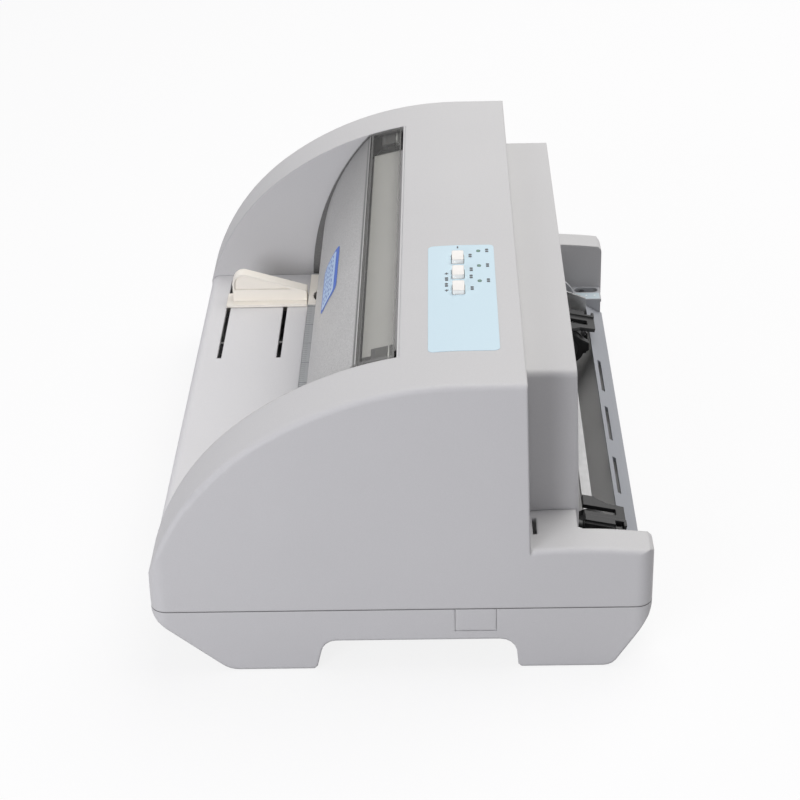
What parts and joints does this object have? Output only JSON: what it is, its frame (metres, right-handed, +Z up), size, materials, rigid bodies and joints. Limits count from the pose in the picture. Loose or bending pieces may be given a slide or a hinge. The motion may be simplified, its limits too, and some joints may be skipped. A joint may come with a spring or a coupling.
{
  "type": "dot matrix printer",
  "caption": "Flat-bed dot matrix printer with a smoked flip-up cover, slide-in form table, edge guide, key panel, rear hood and push tractors.",
  "frame": {"origin": "middle of the footprint, on the surface the feet stand on", "axes": "+X to the printer's right side, -Y to the front where the forms leave, +Z up"},
  "size_m": [0.39, 0.262, 0.1722],
  "materials": {
    "case": "fine spark-eroded texture",
    "table": "fine spark-eroded texture",
    "smoke": "smoke-tinted, satin",
    "smoke_dark": "smoke-tinted, satin",
    "clear": "frosted clear",
    "cream": "satin",
    "inner_grey": "fine texture",
    "dark": "satin",
    "black": "satin",
    "label": "printed film",
    "led": "diffused lens",
    "steel": "zinc-plated sheet",
    "shaft": "ground",
    "rubber": "matt",
    "brass": "machined",
    "nylon": "moulded",
    "motor": "satin black",
    "head": "die cast",
    "pcb": "solder mask",
    "pcb_tan": "paper laminate",
    "belt": "moulded",
    "flex": "flat flex"
  },
  "bodies": {
    "chassis": {"base_tray": "case", "upper_shell": "case", "rear_hood": "case", "front_table": "table", "rubber_feet": "rubber", "case_screws": "shaft", "control_label": "label", "led_lenses": "led", "panel_board": "pcb", "hinge_pins": "shaft", "scale_bar": "clear", "bar_bracket": "cream", "lever_ledge": "inner_grey", "rear_guide": "inner_grey", "left_plate": "steel", "right_plate": "steel", "rear_beam": "steel", "guide_shaft": "shaft", "platen": "dark", "paper_guide": "steel", "feed_motor": "motor", "carriage_motor": "motor", "timing_belt": "belt", "head_cable": "flex", "tractor_rail": "shaft", "main_board": "pcb", "power_supply": "pcb_tan", "ac_inlet": "black", "power_switch": "black"},
    "cover": {"front_cover": "smoke", "hinge_bosses": "smoke_dark"},
    "select_key": {"select_button": "cream"},
    "load_key": {"load_button": "cream"},
    "feed_key": {"feed_button": "cream"},
    "guide": {"edge_guide": "cream"},
    "head_carriage": {"carriage": "dark", "print_head": "head", "ribbon_cartridge": "black"},
    "knob": {"ribbon_knob": "dark"},
    "belt_drive": {"drive_pulley": "shaft"},
    "belt_idler": {"idler_pulley": "shaft"},
    "rear_roller": {"rear_feed_roller": "rubber"},
    "front_roller": {"front_feed_roller": "rubber"},
    "bridge": {"bridge_gear": "nylon"},
    "transfer": {"transfer_gear": "nylon"},
    "pinion": {"motor_pinion": "brass"},
    "idler_front": {"front_idler": "nylon"},
    "reduction": {"step_gear": "nylon"},
    "idler_rear": {"rear_idler": "nylon"},
    "drive_shaft": {"tractor_drive_shaft": "shaft"},
    "front_pinch": {"front_pinch_roller": "rubber"},
    "rear_pinch": {"rear_pinch_roller": "rubber"},
    "tractor_l": {"left_tractor": "black"},
    "tractor_r": {"right_tractor": "black"},
    "sprocket_l": {"left_sprocket": "dark"},
    "sprocket_r": {"right_sprocket": "dark"},
    "flap_l": {"left_tractor_flap": "black"},
    "flap_r": {"right_tractor_flap": "black"},
    "lever": {"release_lever": "dark"},
    "rocker": {"power_rocker": "dark"}
  },
  "joints": [
    {"name": "cover_hinge", "type": "hinge", "parent": "chassis", "child": "cover", "pos_m": [0, -0.0035, 0.1619], "axis": [-1, 0, 0], "range_deg": [0, 75]},
    {"name": "select_press", "type": "slide", "parent": "chassis", "child": "select_key", "axis": [0, 0, -1], "range_m": [0, 0.001], "stiffness_N_per_m": 250},
    {"name": "load_press", "type": "slide", "parent": "chassis", "child": "load_key", "axis": [0, 0, -1], "range_m": [0, 0.001], "stiffness_N_per_m": 250},
    {"name": "feed_press", "type": "slide", "parent": "chassis", "child": "feed_key", "axis": [0, 0, -1], "range_m": [0, 0.001], "stiffness_N_per_m": 250},
    {"name": "guide_slide", "type": "slide", "parent": "chassis", "child": "guide", "axis": [1, 0, 0], "range_m": [-0.024, 0.07]},
    {"name": "carriage_slide", "type": "slide", "parent": "chassis", "child": "head_carriage", "axis": [1, 0, 0], "range_m": [-0.102, 0.102]},
    {"name": "knob_spin", "type": "hinge", "parent": "head_carriage", "child": "knob", "pos_m": [0.028, -0.014, 0.115], "axis": [0, 0, 1], "continuous": true},
    {"name": "drive_pulley_spin", "type": "hinge", "parent": "chassis", "child": "belt_drive", "pos_m": [0.125, 0.054, 0.09], "axis": [0, 0, 1], "continuous": true},
    {"name": "idler_pulley_spin", "type": "hinge", "parent": "chassis", "child": "belt_idler", "pos_m": [-0.125, 0.054, 0.09], "axis": [0, 0, 1], "continuous": true},
    {"name": "rear_roller_spin", "type": "hinge", "parent": "chassis", "child": "rear_roller", "pos_m": [0, 0.008, 0.054], "axis": [1, 0, 0], "continuous": true},
    {"name": "front_roller_spin", "type": "hinge", "parent": "chassis", "child": "front_roller", "pos_m": [0, -0.038, 0.054], "axis": [1, 0, 0], "continuous": true},
    {"name": "bridge_spin", "type": "hinge", "parent": "chassis", "child": "bridge", "pos_m": [0.1529, -0.015, 0.054], "axis": [1, 0, 0], "continuous": true},
    {"name": "transfer_spin", "type": "hinge", "parent": "chassis", "child": "transfer", "pos_m": [0.1529, 0.03196, 0.05539], "axis": [1, 0, 0], "continuous": true},
    {"name": "pinion_spin", "type": "hinge", "parent": "chassis", "child": "pinion", "pos_m": [0.1529, 0.03962, 0.038], "axis": [1, 0, 0], "continuous": true},
    {"name": "front_idler_spin", "type": "hinge", "parent": "chassis", "child": "idler_front", "pos_m": [0.1529, 0.0536, 0.03713], "axis": [1, 0, 0], "continuous": true},
    {"name": "step_gear_spin", "type": "hinge", "parent": "chassis", "child": "reduction", "pos_m": [0.1558, 0.07106, 0.03605], "axis": [1, 0, 0], "continuous": true},
    {"name": "rear_idler_spin", "type": "hinge", "parent": "chassis", "child": "idler_rear", "pos_m": [0.1587, 0.08504, 0.03518], "axis": [1, 0, 0], "continuous": true},
    {"name": "drive_shaft_spin", "type": "hinge", "parent": "chassis", "child": "drive_shaft", "pos_m": [0, 0.104, 0.034], "axis": [1, 0, 0], "continuous": true},
    {"name": "front_pinch_spin", "type": "hinge", "parent": "chassis", "child": "front_pinch", "pos_m": [0, -0.038, 0.06835], "axis": [1, 0, 0], "continuous": true},
    {"name": "rear_pinch_spin", "type": "hinge", "parent": "chassis", "child": "rear_pinch", "pos_m": [0, 0.008, 0.06835], "axis": [1, 0, 0], "continuous": true},
    {"name": "left_tractor_slide", "type": "slide", "parent": "chassis", "child": "tractor_l", "axis": [1, 0, 0], "range_m": [-0.02, 0.06]},
    {"name": "right_tractor_slide", "type": "slide", "parent": "chassis", "child": "tractor_r", "axis": [1, 0, 0], "range_m": [-0.07, 0.008]},
    {"name": "left_sprocket_spin", "type": "hinge", "parent": "tractor_l", "child": "sprocket_l", "pos_m": [-0.1085, 0.104, 0.034], "axis": [1, 0, 0], "continuous": true},
    {"name": "right_sprocket_spin", "type": "hinge", "parent": "tractor_r", "child": "sprocket_r", "pos_m": [0.12, 0.104, 0.034], "axis": [1, 0, 0], "continuous": true},
    {"name": "left_flap_hinge", "type": "hinge", "parent": "tractor_l", "child": "flap_l", "pos_m": [-0.1215, 0.1067, 0.04672], "axis": [0, -0.9781, 0.2079], "range_deg": [0, 110]},
    {"name": "right_flap_hinge", "type": "hinge", "parent": "tractor_r", "child": "flap_r", "pos_m": [0.133, 0.1067, 0.04672], "axis": [0, 0.9781, -0.2079], "range_deg": [0, 110]},
    {"name": "lever_pivot", "type": "hinge", "parent": "chassis", "child": "lever", "pos_m": [-0.165, 0.1207, 0.0285], "axis": [-1, 0, 0], "range_deg": [0, 28]},
    {"name": "rocker_pivot", "type": "hinge", "parent": "chassis", "child": "rocker", "pos_m": [-0.1905, -0.048, 0.052], "axis": [0, 1, 0], "range_deg": [-8, 8]}
  ],
  "couplings": [
    {"joint": "front_roller_spin", "follows": "rear_roller_spin", "ratio": 1},
    {"joint": "bridge_spin", "follows": "rear_roller_spin", "ratio": -1.0909},
    {"joint": "transfer_spin", "follows": "rear_roller_spin", "ratio": -1},
    {"joint": "pinion_spin", "follows": "rear_roller_spin", "ratio": 1.7143},
    {"joint": "front_idler_spin", "follows": "rear_roller_spin", "ratio": -1.7143},
    {"joint": "step_gear_spin", "follows": "rear_roller_spin", "ratio": 1.1429},
    {"joint": "rear_idler_spin", "follows": "rear_roller_spin", "ratio": -1.1429},
    {"joint": "drive_shaft_spin", "follows": "rear_roller_spin", "ratio": 0.66667},
    {"joint": "left_sprocket_spin", "follows": "rear_roller_spin", "ratio": 0.66667},
    {"joint": "right_sprocket_spin", "follows": "rear_roller_spin", "ratio": 0.66667},
    {"joint": "front_pinch_spin", "follows": "rear_roller_spin", "ratio": -1.3333},
    {"joint": "rear_pinch_spin", "follows": "rear_roller_spin", "ratio": -1.3333},
    {"joint": "drive_pulley_spin", "follows": "carriage_slide", "rad_per_m": 130.72},
    {"joint": "idler_pulley_spin", "follows": "carriage_slide", "rad_per_m": 130.72}
  ]
}
